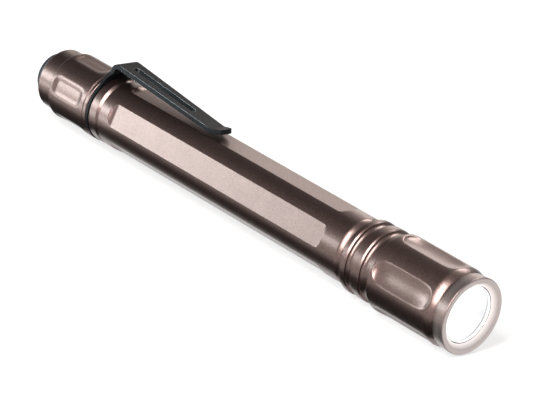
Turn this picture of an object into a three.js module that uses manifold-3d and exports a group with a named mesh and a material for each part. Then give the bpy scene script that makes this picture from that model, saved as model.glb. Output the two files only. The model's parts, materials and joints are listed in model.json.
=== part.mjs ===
// Slim two-cell penlight with a push-button tail and a spring pocket clip.
// Millimetres. +X runs along the light to the lens, +Z up through the pocket clip.
// The working datum is the tube's rear shoulder on the light's axis; the last lines stand the
// light on z = 0 with its middle over the origin.
import * as THREE from 'three';
import { mergeVertices } from 'three/addons/utils/BufferGeometryUtils.js';
import Module from 'manifold-3d';

const wasm = await Module();
wasm.setup();

// Round work
const roundSides = 40;
const smallSides = 20;
const arcSteps = 4;
const sealSides = 6;
const wireSides = 5;
const curlSteps = 8;
const weldDistance = 1e-4;
const flatCount = 5;

// Fits
const seatGap = 0.05;
const faceGap = 0.1;
const slipGap = 0.1;
const threadGap = 0.2;
const neckEndGap = 0.3;
const sealGap = 0.03;

// Cells, two in a row
const cellRadius = 5.25;
const cellLength = 44.5;
const cellEdge = 0.5;
const nubRadius = 1.9;
const nubLength = 1.0;
const cellGap = 0.1;
const cellSlip = 0.2;

// Body tube
const tubeRadius = 7.55;
const neckRadius = 6.5;
const neckBevel = 0.4;
const rearNeckLength = 7.15;
const frontNeckLength = 6.7;
const rearCellInset = 1.5;
const frontCellReach = 6.4;
const bandLength = 2.25;
const bandGrooveWidth = 1.05;
const bandGrooveDepth = 0.4;
const bandGrooveSide = 0.24;
const shoulderLength = 2.8;
const tubeEdge = 0.2;
const flatDepth = 0.47;
const flatRamp = 1.55;
const flatCorner = 2.0;
const flatCutWidth = 6.4;
const frontLand = 4.75;
const frontBevelLength = 1.4;
const frontBevelDrop = 0.6;

// Seal rings on both necks
const neckSealWire = 0.7;
const neckSealGrooveWidth = 1.1;
const neckSealGrooveDepth = 0.55;
const neckSealOffset = 1.7;

// Pocket clip
const sheet = 0.7;
const ringProud = 0.15;
const ringSlip = 0.15;
const clipWidth = 5.7;
const clipFootWidth = 4.2;
const clipTipWidth = 3.6;
const clipBend = 1.4;
const clipSlopeDeg = 5.6;
const clipArmLength = 30.6;
const clipFootBend = 2.4;
const clipTipLiftDeg = 14;
const clipTipLength = 2.8;
const clipTipCorner = 1.0;
const clipLift = 0.25;
const clipFlexGap = 0.3;
const clipSlotWidth = 1.5;
const clipSlotStart = 2.0;
const clipSlotLength = 20.6;

// Tail cap
const capRadius = 7.75;
const capBodyLength = 13.1;
const capStep = 0.35;
const capRimBand = 1.05;
const capRimGroove = 0.2;
const capBevel = 0.3;
const collarRadius = 7.0;
const collarEdge = 0.45;
const lipThickness = 1.8;
const chamberRadius = 6.15;
const pocketLength = 10.4;
const pocketWidth = 5.0;
const pocketDepth = 0.5;
const pocketCorner = 1.6;
const pocketRimMargin = 2.0;
const pocketTurnDeg = 4;

// Tail button and switch
const buttonRadius = 5.2;
const buttonReach = 2.8;
const buttonCrown = 0.5;
const buttonFlange = 1.2;
const buttonFlangeRadius = 5.9;
const buttonStop = 0.3;
const buttonTravel = 1.2;
const buttonSealWire = 0.6;
const buttonSealInset = 0.9;
const plungerRadius = 2.0;
const plungerHeadRadius = 3.2;
const plungerHead = 0.8;
const contactRadius = 4.2;
const contactThickness = 0.4;
const switchRoom = 2.35;
const switchWire = 0.36;
const switchSpringRadius = 2.3;
const switchSpringTurns = 2.5;
const housingWall = 1.0;
const housingFloor = 1.0;
const pinRadius = 0.6;
const pinSpread = 3.4;
const pinLength = 0.85;
const boardThickness = 0.8;
const retainerThickness = 0.8;
const retainerBore = 4.2;
const tailSpringWire = 0.8;
const tailSpringFoot = 3.4;
const tailSpringTip = 2.7;
const tailSpringTurns = 4;

// Head shell
const partingGap = 0.9;
const finRadius = 8.3;
const rearFinWidth = 1.5;
const frontFinWidth = 2.45;
const finGrooveWidth = 1.75;
const finGrooveDepth = 0.75;
const finEdge = 0.25;
const neckGrooveWidth = 2.1;
const headRise = 0.85;
const headRadius = 8.75;
const headLength = 18.75;
const headNoseLength = 1.7;
const headNoseDrop = 0.3;
const headFlange = 2.0;
const headFlangeBore = 5.0;
const moduleBore = 7.2;
const scallopLength = 16.4;
const scallopDepth = 0.8;
const scallopRound = 3.0;
const scallopCutter = 10;
const scallopMargin = 0.7;

// Light engine
const pillLength = 6.7;
const pillRecess = 2.5;
const pillWall = 1.1;
const driverThickness = 1.2;
const driverInset = 0.3;
const ledBoardRadius = 5.6;
const ledBoardThickness = 1.2;
const ledBase = 3.4;
const ledBaseThickness = 0.6;
const ledDomeRadius = 1.5;
const leadRadius = 0.45;
const leadSpread = 4.2;
const frontSpringWire = 0.7;
const frontSpringFoot = 3.2;
const frontSpringTip = 2.2;
const frontSpringTurns = 2.5;

// Reflector, lens and bezel
const bezelRadius = 8.45;
const bezelLength = 2.95;
const bezelEdge = 0.3;
const bezelSleeve = 3.4;
const bezelSleeveWall = 0.4;
const bezelLip = 1.2;
const bezelAperture = 6.2;
const bezelFlare = 0.7;
const lensThickness = 1.8;
const lensBevel = 0.3;
const gasketWire = 0.45;
const reflectorThroat = 2.3;
const reflectorWall = 0.35;
const reflectorRim = 0.9;
const reflectorSteps = 6;

// Stations along the axis, from the tube's rear shoulder
const boreRadius = cellRadius + cellSlip;
const tubeLength = 2 * cellLength + cellGap - rearCellInset - frontCellReach;
const rearNeckEnd = -rearNeckLength;
const frontNeckEnd = tubeLength + frontNeckLength;
const rearCellStart = -rearCellInset;
const frontCellStart = rearCellStart + cellLength + cellGap;
const frontNubEnd = frontCellStart + cellLength;
const flatStart = bandLength + bandGrooveWidth + shoulderLength;
const flatEnd = tubeLength - frontBevelLength - frontLand;
const ringBack = -faceGap - sheet;
const capRim = ringBack - faceGap;
const retainerEnd = rearNeckEnd - neckEndGap;
const boardEnd = retainerEnd - retainerThickness - seatGap;
const housingEnd = boardEnd - boardThickness - seatGap;
const contactEnd = housingEnd - switchRoom;
const plungerHeadEnd = contactEnd - contactThickness - seatGap;
const housingFloorEnd = plungerHeadEnd - plungerHead - faceGap;
const housingStart = housingFloorEnd - housingFloor;
const buttonBack = housingStart - buttonTravel - neckEndGap;
const lipEnd = buttonBack - buttonFlange - buttonStop;
const capBack = lipEnd - lipThickness;
const buttonTip = capBack - buttonReach;
const headStart = tubeLength + partingGap;
const headFlangeStart = frontNeckEnd + neckEndGap;
const finsEnd = headStart + rearFinWidth + finGrooveWidth + frontFinWidth;
const headBodyStart = finsEnd + neckGrooveWidth + headRise;
const headEnd = headBodyStart + headLength;
const pillStart = headFlangeStart + headFlange + seatGap;
const pillEnd = pillStart + pillLength;
const ledBoardEnd = pillEnd + seatGap + ledBoardThickness;
const bezelStart = headEnd + faceGap;
const bezelEnd = bezelStart + bezelLength;
const lipInner = bezelEnd - bezelLip;
const gasketCentre = lipInner - seatGap - gasketWire / 2;
const lensEnd = gasketCentre - gasketWire / 2 - seatGap;
const lensStart = lensEnd - lensThickness;
const reflectorEnd = lensStart - seatGap;
const reflectorStart = ledBoardEnd + faceGap;

// Finishes
const finish = (color, roughness, metalness) =>
  new THREE.MeshStandardMaterial({ color, roughness, metalness });
const bronze = () => finish('#7d6a64', 0.42, 0.9);
const blackSteel = () => finish('#23272a', 0.5, 0.6);
const springSteel = () => finish('#b9bcc0', 0.3, 1);
const brass = () => finish('#b8924a', 0.35, 1);
const blackRubber = () => finish('#1b1c1e', 0.85, 0);
const blackPlastic = () => finish('#26282a', 0.55, 0);
const greenBoard = () => finish('#2f5d43', 0.6, 0);
const whiteBoard = () => finish('#e6e7e2', 0.5, 0);

// A closed geometry as a solid: only positions are kept, and points that meet become one.
function toSolid(geometry) {
  const bare = geometry.clone();
  bare.deleteAttribute('normal');
  bare.deleteAttribute('uv');
  const merged = mergeVertices(bare, weldDistance);
  const corners = merged.index.array;
  const kept = [];
  for (let i = 0; i < corners.length; i += 3) {
    const [a, b, c] = [corners[i], corners[i + 1], corners[i + 2]];
    if (a !== b && b !== c && c !== a) {
      kept.push(a, b, c);
    }
  }
  const vertProperties = new Float32Array(merged.attributes.position.array);
  const triVerts = new Uint32Array(kept);
  return new wasm.Manifold(new wasm.Mesh({ numProp: 3, vertProperties, triVerts }));
}

function toGeometry(solid) {
  const { vertProperties, triVerts } = solid.getMesh();
  const geometry = new THREE.BufferGeometry();
  geometry.setAttribute('position', new THREE.BufferAttribute(vertProperties, 3));
  geometry.setIndex(new THREE.BufferAttribute(triVerts, 1));
  geometry.computeVertexNormals();
  return geometry;
}

// A turned piece from [x, radius] points: the outside from back to front, then the bore back again.
// Half a side of turn puts a flat side straight down, so that the light lies still.
function turned(outline, sides = roundSides) {
  const closed = outline[0][1] > 0 ? [...outline, outline[0]] : outline;
  const points = closed.map(([x, radius]) => new THREE.Vector2(radius, x));
  const geometry = new THREE.LatheGeometry(points, sides, Math.PI / sides);
  geometry.rotateZ(-Math.PI / 2);
  return toSolid(geometry);
}

// A round-section ring about the axis.
function sealRing(x, radius, wire) {
  const section = [];
  for (let i = 0; i < sealSides; i += 1) {
    const angle = (2 * Math.PI * i) / sealSides;
    section.push([x + (wire / 2) * Math.sin(angle), radius - (wire / 2) * Math.cos(angle)]);
  }
  return turned(section.reverse());
}

// A flat shape carried straight along +Z, with its arcs in curveSegments steps.
function extruded(shape, depth, curveSegments) {
  return new THREE.ExtrudeGeometry(shape, { depth, bevelEnabled: false, curveSegments });
}

// A solid of even thickness: a shape in (X, Y) raised from z = base.
function raised(shape, base, height) {
  const geometry = extruded(shape, height, arcSteps);
  geometry.translate(0, 0, base);
  return toSolid(geometry);
}

// A side view in (X, Z) carried across the width, centred on y = 0.
function across(shape, width) {
  const geometry = extruded(shape, width, arcSteps);
  geometry.rotateX(Math.PI / 2);
  geometry.translate(0, width / 2, 0);
  return toSolid(geometry);
}

// A plate square to the axis: a shape in (Y, Z) from x = start.
function plate(shape, start, thickness) {
  const geometry = extruded(shape, thickness, 3 * arcSteps);
  const right = new THREE.Vector3(0, 1, 0);
  const up = new THREE.Vector3(0, 0, 1);
  const along = new THREE.Vector3(1, 0, 0);
  geometry.applyMatrix4(new THREE.Matrix4().makeBasis(right, up, along));
  geometry.translate(start, 0, 0);
  return toSolid(geometry);
}

// A rectangle from x = start to x = end about y = 0, with its corners rounded.
function roundedPlan(start, end, width, corner) {
  const half = width / 2;
  const shape = new THREE.Shape();
  shape.moveTo(start + corner, -half);
  shape.lineTo(end - corner, -half);
  shape.absarc(end - corner, -half + corner, corner, -Math.PI / 2, 0);
  shape.absarc(end - corner, half - corner, corner, 0, Math.PI / 2);
  shape.lineTo(start + corner, half);
  shape.absarc(start + corner, half - corner, corner, Math.PI / 2, Math.PI);
  shape.absarc(start + corner, -half + corner, corner, Math.PI, 1.5 * Math.PI);
  return shape;
}

// Cuts one copy of a cutter for each flat, the first one turned from straight up by turnDeg.
function cutAllRound(solid, cutter, turnDeg = 0) {
  let result = solid;
  for (let i = 0; i < flatCount; i += 1) {
    result = result.subtract(cutter.rotate([turnDeg + (360 * i) / flatCount, 0, 0]));
  }
  return result;
}

// A coil spring along the axis, from one radius to another.
class SpringPath extends THREE.Curve {
  constructor(start, end, startRadius, endRadius, turns) {
    super();
    Object.assign(this, { start, end, startRadius, endRadius, turns });
  }

  getPoint(t) {
    const radius = THREE.MathUtils.lerp(this.startRadius, this.endRadius, t);
    const angle = 2 * Math.PI * this.turns * t;
    const x = THREE.MathUtils.lerp(this.start, this.end, t);
    return new THREE.Vector3(x, radius * Math.sin(angle), radius * Math.cos(angle));
  }
}

// The wire stays half its thickness, and the seat's gap, inside both end faces.
function coilSpring(faces, radii, turns, wire) {
  const inset = wire / 2 + faceGap;
  const path = new SpringPath(faces[0] + inset, faces[1] - inset, radii[0], radii[1], turns);
  const section = [];
  for (let i = 0; i < wireSides; i += 1) {
    const angle = (2 * Math.PI * i) / wireSides;
    section.push(new THREE.Vector2((wire / 2) * Math.cos(angle), (wire / 2) * Math.sin(angle)));
  }
  const outline = new THREE.Shape(section);
  const steps = Math.round(curlSteps * turns);
  return toSolid(new THREE.ExtrudeGeometry(outline, { steps, bevelEnabled: false, extrudePath: path }));
}

const light = new THREE.Group();

function addPiece(name, solid, material) {
  const mesh = new THREE.Mesh(toGeometry(solid), material);
  mesh.name = name;
  light.add(mesh);
}

// Groove for a seal ring, as outline points on a neck.
function sealGroove(middle) {
  const half = neckSealGrooveWidth / 2;
  const floor = neckRadius - neckSealGrooveDepth;
  return [
    [middle - half, neckRadius],
    [middle - half, floor],
    [middle + half, floor],
    [middle + half, neckRadius],
  ];
}

// Body tube: necks at both ends, a grooved band behind, five long flats and a bevelled front.
const rearSealX = ringBack - faceGap - neckSealOffset;
const frontSealX = headStart + neckSealOffset;
const tubeBlank = turned([
  [rearNeckEnd, neckRadius - neckBevel],
  [rearNeckEnd + neckBevel, neckRadius],
  ...sealGroove(rearSealX),
  [0, neckRadius],
  [0, tubeRadius - tubeEdge],
  [tubeEdge, tubeRadius],
  [bandLength, tubeRadius],
  [bandLength + bandGrooveSide, tubeRadius - bandGrooveDepth],
  [bandLength + bandGrooveWidth - bandGrooveSide, tubeRadius - bandGrooveDepth],
  [bandLength + bandGrooveWidth, tubeRadius],
  [tubeLength - frontBevelLength, tubeRadius],
  [tubeLength, tubeRadius - frontBevelDrop],
  [tubeLength, neckRadius],
  ...sealGroove(frontSealX),
  [frontNeckEnd - neckBevel, neckRadius],
  [frontNeckEnd, neckRadius - neckBevel],
  [frontNeckEnd, boreRadius],
  [rearNeckEnd, boreRadius],
]);
const flatHeight = tubeRadius - flatDepth;
const flatFloorStart = flatStart + flatRamp;
const flatPlan = roundedPlan(flatFloorStart, flatEnd, flatCutWidth, flatCorner);
const flatCut = raised(flatPlan, flatHeight, 2 * flatDepth);
const rampSide = new THREE.Shape([
  new THREE.Vector2(flatStart, tubeRadius),
  new THREE.Vector2(flatFloorStart, flatHeight),
  new THREE.Vector2(flatFloorStart + flatRamp, flatHeight),
  new THREE.Vector2(flatFloorStart + flatRamp, tubeRadius + flatDepth),
  new THREE.Vector2(flatStart, tubeRadius + flatDepth),
]);
const rampCut = across(rampSide, flatCutWidth);
addPiece('body_tube', cutAllRound(cutAllRound(tubeBlank, flatCut), rampCut), bronze());

const neckSealRadius = neckRadius - neckSealGrooveDepth + sealGap + neckSealWire / 2;
addPiece('tail_seal', sealRing(rearSealX, neckSealRadius, neckSealWire), blackRubber());
addPiece('head_seal', sealRing(frontSealX, neckSealRadius, neckSealWire), blackRubber());

// Two cells nose to tail, positive ends forward.
function cell(start) {
  const can = start + cellLength - nubLength;
  return turned([
    [start, 0],
    [start, cellRadius - cellEdge],
    [start + cellEdge, cellRadius],
    [can - cellEdge, cellRadius],
    [can, cellRadius - cellEdge],
    [can, nubRadius],
    [can + nubLength, nubRadius],
    [can + nubLength, 0],
  ]);
}
addPiece('rear_cell', cell(rearCellStart), finish('#3c4046', 0.35, 0.4));
addPiece('front_cell', cell(frontCellStart), finish('#3c4046', 0.35, 0.4));

// Pocket clip: a ring trapped behind the tube's shoulder, a riser whose sides leave the ring
// along its tangents, a bend over the top, and an arm that comes down to a foot near the tube.
const slope = THREE.MathUtils.degToRad(clipSlopeDeg);
const tipLift = THREE.MathUtils.degToRad(clipTipLiftDeg);
const plateX = ringBack + sheet / 2;
const bendRadius = clipBend + sheet / 2;
const footRadius = clipFootBend + sheet / 2;
const footZ = tubeRadius + clipLift + sheet / 2;
const footCentre = new THREE.Vector2(0, footZ + footRadius);
const armEndZ = footCentre.y - footRadius * Math.cos(slope);
const armStartZ = armEndZ + clipArmLength * Math.sin(slope);
const bendCentre = new THREE.Vector2(plateX + bendRadius, armStartZ - bendRadius * Math.cos(slope));
const armStartX = bendCentre.x + bendRadius * Math.sin(slope);
const armEndX = armStartX + clipArmLength * Math.cos(slope);
footCentre.x = armEndX + footRadius * Math.sin(slope);

// Middle-line points as a strip of the sheet's thickness: each end is cut square to the line.
function strip(middle) {
  const upper = [];
  const lower = [];
  middle.forEach((point, i) => {
    const before = middle[Math.max(i - 1, 0)];
    const after = middle[Math.min(i + 1, middle.length - 1)];
    const along = after.clone().sub(before).normalize();
    const normal = new THREE.Vector2(-along.y, along.x).multiplyScalar(sheet / 2);
    upper.push(point.clone().add(normal));
    lower.push(point.clone().sub(normal));
  });
  return new THREE.Shape([...lower, ...upper.reverse()]);
}

function arcPoints(centre, radius, from, to, steps) {
  const points = [];
  for (let i = 0; i <= steps; i += 1) {
    const angle = THREE.MathUtils.lerp(from, to, i / steps);
    points.push(new THREE.Vector2(centre.x + radius * Math.cos(angle), centre.y + radius * Math.sin(angle)));
  }
  return points;
}

const ringRadius = tubeRadius + ringProud;
const half = clipWidth / 2;
const riserCorner = new THREE.Vector2(half, bendCentre.y);
const tangentTurn = Math.acos(ringRadius / riserCorner.length()) + Math.atan2(riserCorner.x, riserCorner.y);
const ringOutline = new THREE.Shape();
ringOutline.moveTo(half, bendCentre.y);
ringOutline.lineTo(-half, bendCentre.y);
ringOutline.absarc(0, 0, ringRadius, Math.PI / 2 + tangentTurn, 2.5 * Math.PI - tangentTurn);
const ringHole = new THREE.Path();
ringHole.absarc(0, 0, neckRadius + ringSlip, 0, 2 * Math.PI, true);
ringOutline.holes.push(ringHole);
const bendLine = arcPoints(bendCentre, bendRadius, Math.PI, Math.PI / 2 - slope, 2 * arcSteps);
bendLine.unshift(new THREE.Vector2(plateX, bendCentre.y - sheet));
const clipRing = plate(ringOutline, ringBack, sheet).add(across(strip(bendLine), clipWidth));
addPiece('clip_ring', clipRing, blackSteel());

// Along the arm: from the flex gap after the bend, down the slope, round the foot and up the tip.
const armDirection = new THREE.Vector2(Math.cos(slope), -Math.sin(slope));
const armStart = new THREE.Vector2(armStartX, armStartZ);
const armFirst = armStart.clone().addScaledVector(armDirection, clipFlexGap);
const footArc = arcPoints(footCentre, footRadius, -Math.PI / 2 - slope, -Math.PI / 2 + tipLift, arcSteps);
const tipDirection = new THREE.Vector2(Math.cos(tipLift), Math.sin(tipLift));
const tipEnd = footArc[arcSteps].clone().addScaledVector(tipDirection, clipTipLength);
const armSide = across(strip([armFirst, ...footArc, tipEnd]), clipWidth + sheet);
const tipHalf = clipTipWidth / 2;
const footHalf = clipFootWidth / 2;
const planEnd = tipEnd.x + sheet;
const armPlan = new THREE.Shape([
  new THREE.Vector2(armStartX - sheet, half),
  new THREE.Vector2(armStartX - sheet, -half),
  new THREE.Vector2(armEndX, -footHalf),
  new THREE.Vector2(tipEnd.x - clipTipCorner, -tipHalf),
  new THREE.Vector2(tipEnd.x, -tipHalf + clipTipCorner),
  new THREE.Vector2(planEnd, -tipHalf + clipTipCorner),
  new THREE.Vector2(planEnd, tipHalf - clipTipCorner),
  new THREE.Vector2(tipEnd.x, tipHalf - clipTipCorner),
  new THREE.Vector2(tipEnd.x - clipTipCorner, tipHalf),
  new THREE.Vector2(armEndX, footHalf),
]);
const slotStart = armStartX + clipSlotStart;
const slotRound = clipSlotWidth / 2;
armPlan.holes.push(roundedPlan(slotStart, slotStart + clipSlotLength, clipSlotWidth, slotRound));
const clipTop = armStartZ + tipEnd.y;
addPiece('clip_arm', armSide.intersect(raised(armPlan, 0, clipTop)), blackSteel());

// Tail cap: end collar, stepped body with five pockets, a lined rim, and the switch chamber.
const capBore = neckRadius + threadGap;
const capStepX = capRim - capBodyLength;
const rimLineX = capRim - capRimBand;
const capBlank = turned([
  [capBack, collarRadius - collarEdge],
  [capBack + collarEdge, collarRadius],
  [capStepX, collarRadius],
  [capStepX, capRadius - capStep],
  [capStepX + capStep, capRadius],
  [rimLineX - capRimGroove, capRadius],
  [rimLineX, capRadius - capRimGroove],
  [rimLineX + capRimGroove, capRadius],
  [capRim - capBevel, capRadius],
  [capRim, capRadius - capBevel],
  [capRim, capBore],
  [retainerEnd, capBore],
  [retainerEnd, chamberRadius],
  [lipEnd, chamberRadius],
  [lipEnd, buttonRadius + slipGap],
  [capBack, buttonRadius + slipGap],
]);
const pocketEnd = capRim - pocketRimMargin;
const pocketPlan = roundedPlan(pocketEnd - pocketLength, pocketEnd, pocketWidth, pocketCorner);
const pocketCut = raised(pocketPlan, capRadius - pocketDepth, 2 * pocketDepth);
addPiece('tail_cap', cutAllRound(capBlank, pocketCut, pocketTurnDeg), bronze());

// Push button with a crowned end, a seal ring in a groove and a flange behind the cap's lip.
const buttonSealX = capBack + buttonSealInset;
const buttonSealHalf = buttonSealWire / 2 + sealGap;
const buttonGrooveFloor = buttonRadius - buttonSealWire;
const crown = [];
for (let i = 0; i <= arcSteps; i += 1) {
  const angle = (Math.PI / 2) * (i / arcSteps);
  const radius = buttonRadius - buttonCrown * (1 - Math.sin(angle));
  crown.push([buttonTip + buttonCrown * (1 - Math.cos(angle)), radius]);
}
addPiece('tail_button', turned([
  [buttonTip, 0],
  ...crown,
  [buttonSealX - buttonSealHalf, buttonRadius],
  [buttonSealX - buttonSealHalf, buttonGrooveFloor],
  [buttonSealX + buttonSealHalf, buttonGrooveFloor],
  [buttonSealX + buttonSealHalf, buttonRadius],
  [buttonBack - buttonFlange, buttonRadius],
  [buttonBack - buttonFlange, buttonFlangeRadius],
  [buttonBack, buttonFlangeRadius],
  [buttonBack, 0],
]), blackPlastic());
const buttonSealRadius = buttonGrooveFloor + sealGap + buttonSealWire / 2;
addPiece('button_seal', sealRing(buttonSealX, buttonSealRadius, buttonSealWire), blackRubber());

// Switch: a plunger behind the button carries a contact disc onto two pins of the switch board.
addPiece('switch_plunger', turned([
  [buttonBack + seatGap, 0],
  [buttonBack + seatGap, plungerRadius],
  [plungerHeadEnd - plungerHead, plungerRadius],
  [plungerHeadEnd - plungerHead, plungerHeadRadius],
  [plungerHeadEnd, plungerHeadRadius],
  [plungerHeadEnd, 0],
], smallSides), finish('#d8d4c8', 0.5, 0));
addPiece('moving_contact', turned([
  [contactEnd - contactThickness, 0],
  [contactEnd - contactThickness, contactRadius],
  [contactEnd, contactRadius],
  [contactEnd, 0],
], smallSides), brass());
const switchRadii = [switchSpringRadius, switchSpringRadius];
const switchCoil = coilSpring([contactEnd, housingEnd], switchRadii, switchSpringTurns, switchWire);
addPiece('switch_spring', switchCoil, springSteel());
const housingRadius = chamberRadius - slipGap;
addPiece('switch_housing', turned([
  [housingStart, housingRadius],
  [housingEnd, housingRadius],
  [housingEnd, housingRadius - housingWall],
  [housingFloorEnd, housingRadius - housingWall],
  [housingFloorEnd, plungerRadius + slipGap],
  [housingStart, plungerRadius + slipGap],
]), blackPlastic());
const contactPin = turned([
  [housingEnd - pinLength, 0],
  [housingEnd - pinLength, pinRadius],
  [housingEnd, pinRadius],
  [housingEnd, 0],
], smallSides / 2);
addPiece('contact_pin_left', contactPin.translate([0, pinSpread, 0]), brass());
addPiece('contact_pin_right', contactPin.translate([0, -pinSpread, 0]), brass());
addPiece('switch_board', turned([
  [boardEnd - boardThickness, 0],
  [boardEnd - boardThickness, housingRadius],
  [boardEnd, housingRadius],
  [boardEnd, 0],
]), greenBoard());
addPiece('switch_retainer', turned([
  [retainerEnd - retainerThickness, housingRadius],
  [retainerEnd, housingRadius],
  [retainerEnd, retainerBore],
  [retainerEnd - retainerThickness, retainerBore],
]), brass());
const tailRadii = [tailSpringFoot, tailSpringTip];
const tailCoil = coilSpring([boardEnd, rearCellStart], tailRadii, tailSpringTurns, tailSpringWire);
addPiece('tail_spring', tailCoil, springSteel());

// Head shell: two fins, a grooved neck, a scalloped body and a bevelled nose.
const headBore = neckRadius + threadGap;
const rearFinEnd = headStart + rearFinWidth;
const frontFinStart = rearFinEnd + finGrooveWidth;
const frontFinEnd = frontFinStart + frontFinWidth;
const finFloor = finRadius - finGrooveDepth;
const headBlank = turned([
  [headStart, finRadius - finEdge],
  [headStart + finEdge, finRadius],
  [rearFinEnd - finEdge, finRadius],
  [rearFinEnd, finRadius - finEdge],
  [rearFinEnd, finFloor],
  [frontFinStart, finFloor],
  [frontFinStart, finRadius - finEdge],
  [frontFinStart + finEdge, finRadius],
  [frontFinEnd - finEdge, finRadius],
  [frontFinEnd, finRadius - finEdge],
  [frontFinEnd, finFloor],
  [headBodyStart - headRise, finFloor],
  [headBodyStart, headRadius],
  [headEnd - headNoseLength, headRadius],
  [headEnd, headRadius - headNoseDrop],
  [headEnd, moduleBore],
  [headFlangeStart + headFlange, moduleBore],
  [headFlangeStart + headFlange, headFlangeBore],
  [headFlangeStart, headFlangeBore],
  [headFlangeStart, headBore],
  [headStart, headBore],
]);
const scallopStart = headBodyStart + scallopMargin;
const scallopEnd = scallopStart + scallopLength;
const scallopOutline = [[scallopStart, 0]];
for (let i = 0; i <= arcSteps; i += 1) {
  const angle = (Math.PI / 2) * (i / arcSteps);
  const rise = scallopCutter - scallopDepth * (1 - Math.sin(angle));
  scallopOutline.push([scallopStart + scallopRound * (1 - Math.cos(angle)), rise]);
}
for (let i = arcSteps; i >= 0; i -= 1) {
  const angle = (Math.PI / 2) * (i / arcSteps);
  const rise = scallopCutter - scallopDepth * (1 - Math.sin(angle));
  scallopOutline.push([scallopEnd - scallopRound * (1 - Math.cos(angle)), rise]);
}
scallopOutline.push([scallopEnd, 0]);
const scallopHeight = headRadius - scallopDepth + scallopCutter;
const scallopCut = turned(scallopOutline).translate([0, 0, scallopHeight]);
addPiece('head_shell', cutAllRound(headBlank, scallopCut), bronze());

// Heat-sink pill with a recess for the driver, feed-through leads, and the emitter board in front.
const pillRadius = moduleBore - slipGap;
const driverRadius = pillRadius - pillWall - slipGap;
const driverStart = pillStart + driverInset;
const driverEnd = driverStart + driverThickness;
const pillBlank = turned([
  [pillStart + pillRecess, 0],
  [pillStart + pillRecess, pillRadius - pillWall],
  [pillStart, pillRadius - pillWall],
  [pillStart, pillRadius],
  [pillEnd, pillRadius],
  [pillEnd, 0],
]);
const leadHole = turned([
  [pillStart, 0],
  [pillStart, leadRadius + slipGap],
  [pillEnd + pillWall, leadRadius + slipGap],
  [pillEnd + pillWall, 0],
], smallSides / 2);
const leadPin = turned([
  [driverEnd + seatGap, 0],
  [driverEnd + seatGap, leadRadius],
  [pillEnd, leadRadius],
  [pillEnd, 0],
], smallSides / 2);
const leftLead = [0, leadSpread, 0];
const rightLead = [0, -leadSpread, 0];
const pill = pillBlank.subtract(leadHole.translate(leftLead)).subtract(leadHole.translate(rightLead));
addPiece('heat_sink_pill', pill, finish('#c7c3b8', 0.4, 0.9));
addPiece('lead_plus', leadPin.translate(leftLead), finish('#a4201c', 0.6, 0));
addPiece('lead_minus', leadPin.translate(rightLead), finish('#1c1c1e', 0.6, 0));
addPiece('driver_board', turned([
  [driverStart, 0],
  [driverStart, driverRadius],
  [driverEnd, driverRadius],
  [driverEnd, 0],
]), greenBoard());
const frontRadii = [frontSpringTip, frontSpringFoot];
const frontCoil = coilSpring([frontNubEnd, driverStart], frontRadii, frontSpringTurns, frontSpringWire);
addPiece('front_spring', frontCoil, springSteel());
addPiece('emitter_board', turned([
  [pillEnd + seatGap, 0],
  [pillEnd + seatGap, ledBoardRadius],
  [ledBoardEnd, ledBoardRadius],
  [ledBoardEnd, 0],
]), whiteBoard());
const emitterStart = ledBoardEnd + seatGap;
const emitterDomeStart = emitterStart + ledBaseThickness;
const domeRoot = emitterStart + ledBaseThickness / 2;
const domeOutline = [[domeRoot, 0], [domeRoot, ledDomeRadius]];
for (let i = 0; i <= arcSteps; i += 1) {
  const angle = (Math.PI / 2) * (i / arcSteps);
  const radius = i === arcSteps ? 0 : ledDomeRadius * Math.cos(angle);
  domeOutline.push([emitterDomeStart + ledDomeRadius * Math.sin(angle), radius]);
}
const emitterBase = new THREE.BoxGeometry(ledBaseThickness, ledBase, ledBase);
emitterBase.translate(domeRoot, 0, 0);
addPiece('led_emitter', toSolid(emitterBase).add(turned(domeOutline, smallSides)), finish('#f3e7a6', 0.3, 0));

// Reflector: a parabola from the throat round the emitter to the rim behind the lens.
const sleeveBore = moduleBore - slipGap - bezelSleeveWall;
const reflectorRadius = sleeveBore - slipGap;
const reflectorMouth = reflectorRadius - reflectorWall;
const bowl = [];
for (let i = 0; i <= reflectorSteps; i += 1) {
  const radius = THREE.MathUtils.lerp(reflectorThroat, reflectorMouth, i / reflectorSteps);
  const share = (radius ** 2 - reflectorThroat ** 2) / (reflectorMouth ** 2 - reflectorThroat ** 2);
  bowl.push([THREE.MathUtils.lerp(reflectorStart, reflectorEnd, share), radius]);
}
const shell = bowl.map(([x, radius]) => [x, radius + reflectorWall]);
addPiece('reflector', turned([
  ...shell.slice(0, -1),
  [reflectorEnd - reflectorRim, reflectorRadius],
  [reflectorEnd, reflectorRadius],
  ...bowl.reverse(),
]), finish('#dfe2e4', 0.12, 1));

const lensRadius = sleeveBore - slipGap;
addPiece('lens', turned([
  [lensStart, 0],
  [lensStart, lensRadius - lensBevel],
  [lensStart + lensBevel, lensRadius],
  [lensEnd - lensBevel, lensRadius],
  [lensEnd, lensRadius - lensBevel],
  [lensEnd, 0],
]), finish('#eef3f5', 0.05, 0));
const gasketRadius = sleeveBore - sealGap - gasketWire / 2;
addPiece('lens_gasket', sealRing(gasketCentre, gasketRadius, gasketWire), blackRubber());

// Bezel: a ring with a sleeve into the head and a flared lip that holds the lens.
addPiece('front_bezel', turned([
  [bezelStart - bezelSleeve, moduleBore - slipGap],
  [bezelStart, moduleBore - slipGap],
  [bezelStart, bezelRadius],
  [bezelEnd - bezelEdge, bezelRadius],
  [bezelEnd, bezelRadius - bezelEdge],
  [bezelEnd, bezelAperture + bezelFlare],
  [lipInner, bezelAperture],
  [lipInner, sleeveBore],
  [bezelStart - bezelSleeve, sleeveBore],
]), bronze());

// The light lies along X on its head's lowest side, with the middle of its length over the origin.
const restHeight = headRadius * Math.cos(Math.PI / roundSides);
light.position.set(-(buttonTip + bezelEnd) / 2, 0, restHeight);

export default light;
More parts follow.
